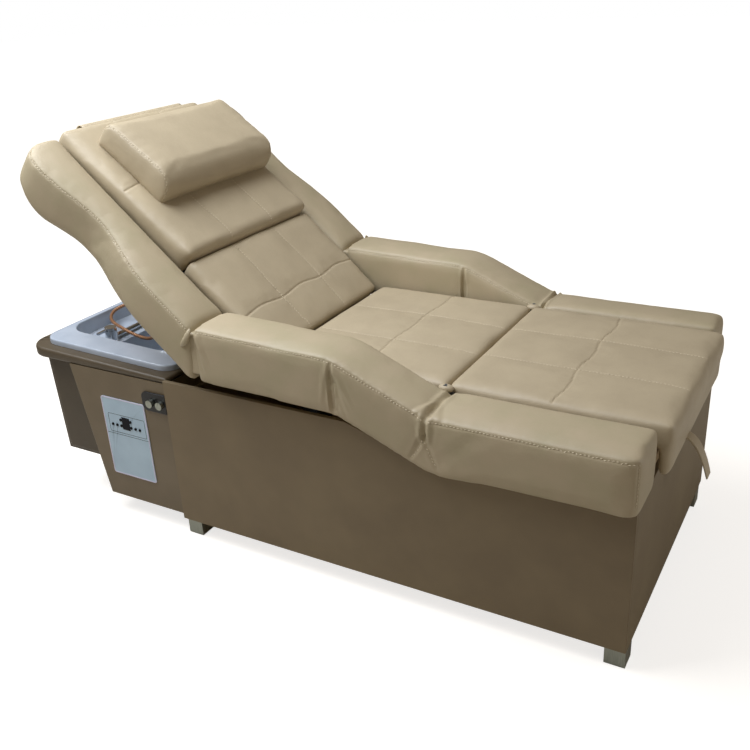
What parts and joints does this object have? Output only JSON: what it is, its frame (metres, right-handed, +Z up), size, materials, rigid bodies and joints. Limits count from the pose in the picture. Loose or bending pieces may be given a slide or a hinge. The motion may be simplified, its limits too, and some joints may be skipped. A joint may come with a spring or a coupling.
{
  "type": "shampoo bed",
  "caption": "Upholstered reclining shampoo bed with side wings, folding arm cushions, a storage lid under the legs and a wash basin unit at its head end.",
  "frame": {"origin": "on the floor, under the middle of the whole object", "axes": "+X from the basin at the head end to the foot end, +Z up"},
  "size_m": [1.841, 0.8626, 1.0924],
  "materials": {
    "side_leather": "soft sheen",
    "pad_leather": "soft sheen",
    "cabinet_laminate": "leathercloth over board",
    "moulded_shell": "fine moulded grain",
    "basin_white": "gloss",
    "plywood": "raw",
    "frame_steel": "powder coat",
    "foot_steel": "brushed",
    "bright_metal": "polished",
    "black_plastic": "moulded",
    "heater_enamel": "enamel",
    "plate_film": "satin film",
    "dark_glass": "gloss",
    "key_black": "satin",
    "copper_hose": "wound metal"
  },
  "bodies": {
    "base": {"side_panels": "cabinet_laminate", "end_panels": "cabinet_laminate", "storage_box": "plywood", "bottom_board": "plywood", "frame_rails": "frame_steel", "feet": "foot_steel", "fixed_boards": "plywood", "seat_cushion": "pad_leather", "rail_cushions": "side_leather", "frame_brackets": "frame_steel", "pivot_pins": "bright_metal", "control_box": "black_plastic", "basin_housing": "moulded_shell", "rear_housing": "moulded_shell", "housing_rim": "moulded_shell", "basin_bowl": "basin_white", "drain_strainer": "bright_metal", "drain_pipe": "black_plastic", "mixer_body": "bright_metal", "water_heater": "heater_enamel", "water_pump": "black_plastic", "shower_holder": "moulded_shell", "control_plate": "plate_film", "display_window": "dark_glass", "knob_bezel": "black_plastic", "power_inlet": "black_plastic", "spray_hose": "copper_hose"},
    "backrest": {"back_board": "plywood", "back_frame": "frame_steel", "back_cushion": "pad_leather", "wing_near": "side_leather", "wing_far": "side_leather"},
    "arm_near": {"arm_near": "side_leather", "arm_link_near": "frame_steel"},
    "arm_far": {"arm_far": "side_leather", "arm_link_far": "frame_steel"},
    "slope_near": {"slope_near": "side_leather", "slope_link_near": "frame_steel"},
    "slope_far": {"slope_far": "side_leather", "slope_link_far": "frame_steel"},
    "leg_lid": {"lid_board": "plywood", "lid_cushion": "pad_leather", "lid_hinges": "frame_steel", "pull_strap": "pad_leather"},
    "head_panel": {"head_panel": "pad_leather"},
    "pillow": {"pillow": "pad_leather"},
    "actuator": {"actuator_body": "black_plastic"},
    "actuator_rod": {"actuator_rod": "bright_metal"},
    "hot_knob": {"hot_knob": "bright_metal"},
    "cold_knob": {"cold_knob": "bright_metal"},
    "mixer_lever": {"mixer_lever": "bright_metal"},
    "hand_shower": {"hand_shower": "bright_metal"},
    "key_1": {"key_1": "key_black"},
    "key_2": {"key_2": "key_black"},
    "key_3": {"key_3": "key_black"},
    "key_4": {"key_4": "key_black"},
    "key_5": {"key_5": "key_black"},
    "key_6": {"key_6": "key_black"},
    "key_7": {"key_7": "key_black"},
    "key_8": {"key_8": "key_black"}
  },
  "joints": [
    {"name": "recline", "type": "hinge", "parent": "base", "child": "backrest", "pos_m": [-0.1165, 0, 0.482], "axis": [0, -1, 0], "range_deg": [0, 15]},
    {"name": "arm_near_turn", "type": "hinge", "parent": "backrest", "child": "arm_near", "pos_m": [-0.2445, 0, 0.542], "axis": [0, -1, 0], "range_deg": [-13.1, 0]},
    {"name": "slope_near_turn", "type": "hinge", "parent": "base", "child": "slope_near", "pos_m": [0.3685, 0, 0.482], "axis": [0, -1, 0], "range_deg": [0, 5.7]},
    {"name": "arm_far_turn", "type": "hinge", "parent": "backrest", "child": "arm_far", "pos_m": [-0.2445, 0, 0.542], "axis": [0, -1, 0], "range_deg": [-13.1, 0]},
    {"name": "slope_far_turn", "type": "hinge", "parent": "base", "child": "slope_far", "pos_m": [0.3685, 0, 0.482], "axis": [0, -1, 0], "range_deg": [0, 5.7]},
    {"name": "lid_lift", "type": "hinge", "parent": "base", "child": "leg_lid", "pos_m": [0.361, 0, 0.552], "axis": [0, -1, 0], "range_deg": [0, 75]},
    {"name": "head_panel_lift", "type": "slide", "parent": "backrest", "child": "head_panel", "axis": [0.6494, 0, 0.7604], "range_m": [0, 0.08]},
    {"name": "pillow_lift", "type": "slide", "parent": "head_panel", "child": "pillow", "axis": [0.6494, 0, 0.7604], "range_m": [0, 0.06]},
    {"name": "actuator_tilt", "type": "hinge", "parent": "base", "child": "actuator", "pos_m": [0.2895, 0, 0.12], "axis": [0, -1, 0], "range_deg": [-3.6, 0]},
    {"name": "rod_slide", "type": "slide", "parent": "actuator", "child": "actuator_rod", "axis": [-0.8805, 0, 0.4741], "range_m": [-0.029, 0]},
    {"name": "hot_turn", "type": "hinge", "parent": "base", "child": "hot_knob", "pos_m": [-0.45722, -0.39, 0.396], "axis": [0, 1, 0], "range_deg": [0, 90]},
    {"name": "cold_turn", "type": "hinge", "parent": "base", "child": "cold_knob", "pos_m": [-0.42362, -0.39, 0.396], "axis": [0, 1, 0], "range_deg": [0, 90]},
    {"name": "mixer_turn", "type": "hinge", "parent": "base", "child": "mixer_lever", "pos_m": [-0.76463, -0.2, 0.4902], "axis": [0.0308, 0, 0.9995], "range_deg": [-35, 35]},
    {"name": "shower_lift", "type": "slide", "parent": "base", "child": "hand_shower", "axis": [0.0308, 0, 0.9995], "range_m": [0, 0.06]},
    {"name": "key_1_press", "type": "slide", "parent": "base", "child": "key_1", "axis": [0, 1, 0], "range_m": [0, 0.0015], "stiffness_N_per_m": 250, "springref_m": -0.001},
    {"name": "key_2_press", "type": "slide", "parent": "base", "child": "key_2", "axis": [0, 1, 0], "range_m": [0, 0.0015], "stiffness_N_per_m": 250, "springref_m": -0.001},
    {"name": "key_3_press", "type": "slide", "parent": "base", "child": "key_3", "axis": [0, 1, 0], "range_m": [0, 0.0015], "stiffness_N_per_m": 250, "springref_m": -0.001},
    {"name": "key_4_press", "type": "slide", "parent": "base", "child": "key_4", "axis": [0, 1, 0], "range_m": [0, 0.0015], "stiffness_N_per_m": 250, "springref_m": -0.001},
    {"name": "key_5_press", "type": "slide", "parent": "base", "child": "key_5", "axis": [0, 1, 0], "range_m": [0, 0.0015], "stiffness_N_per_m": 250, "springref_m": -0.001},
    {"name": "key_6_press", "type": "slide", "parent": "base", "child": "key_6", "axis": [0, 1, 0], "range_m": [0, 0.0015], "stiffness_N_per_m": 250, "springref_m": -0.001},
    {"name": "key_7_press", "type": "slide", "parent": "base", "child": "key_7", "axis": [0, 1, 0], "range_m": [0, 0.0015], "stiffness_N_per_m": 250, "springref_m": -0.001},
    {"name": "key_8_press", "type": "slide", "parent": "base", "child": "key_8", "axis": [0, 1, 0], "range_m": [0, 0.0015], "stiffness_N_per_m": 250, "springref_m": -0.001}
  ],
  "couplings": [
    {"joint": "arm_near_turn", "follows": "recline", "ratio": -0.8722},
    {"joint": "arm_far_turn", "follows": "recline", "ratio": -0.8722},
    {"joint": "slope_near_turn", "follows": "recline", "ratio": 0.3773},
    {"joint": "slope_far_turn", "follows": "recline", "ratio": 0.3773},
    {"joint": "actuator_tilt", "follows": "recline", "ratio": -0.2346},
    {"joint": "rod_slide", "follows": "recline", "m_per_rad": -0.11033}
  ]
}
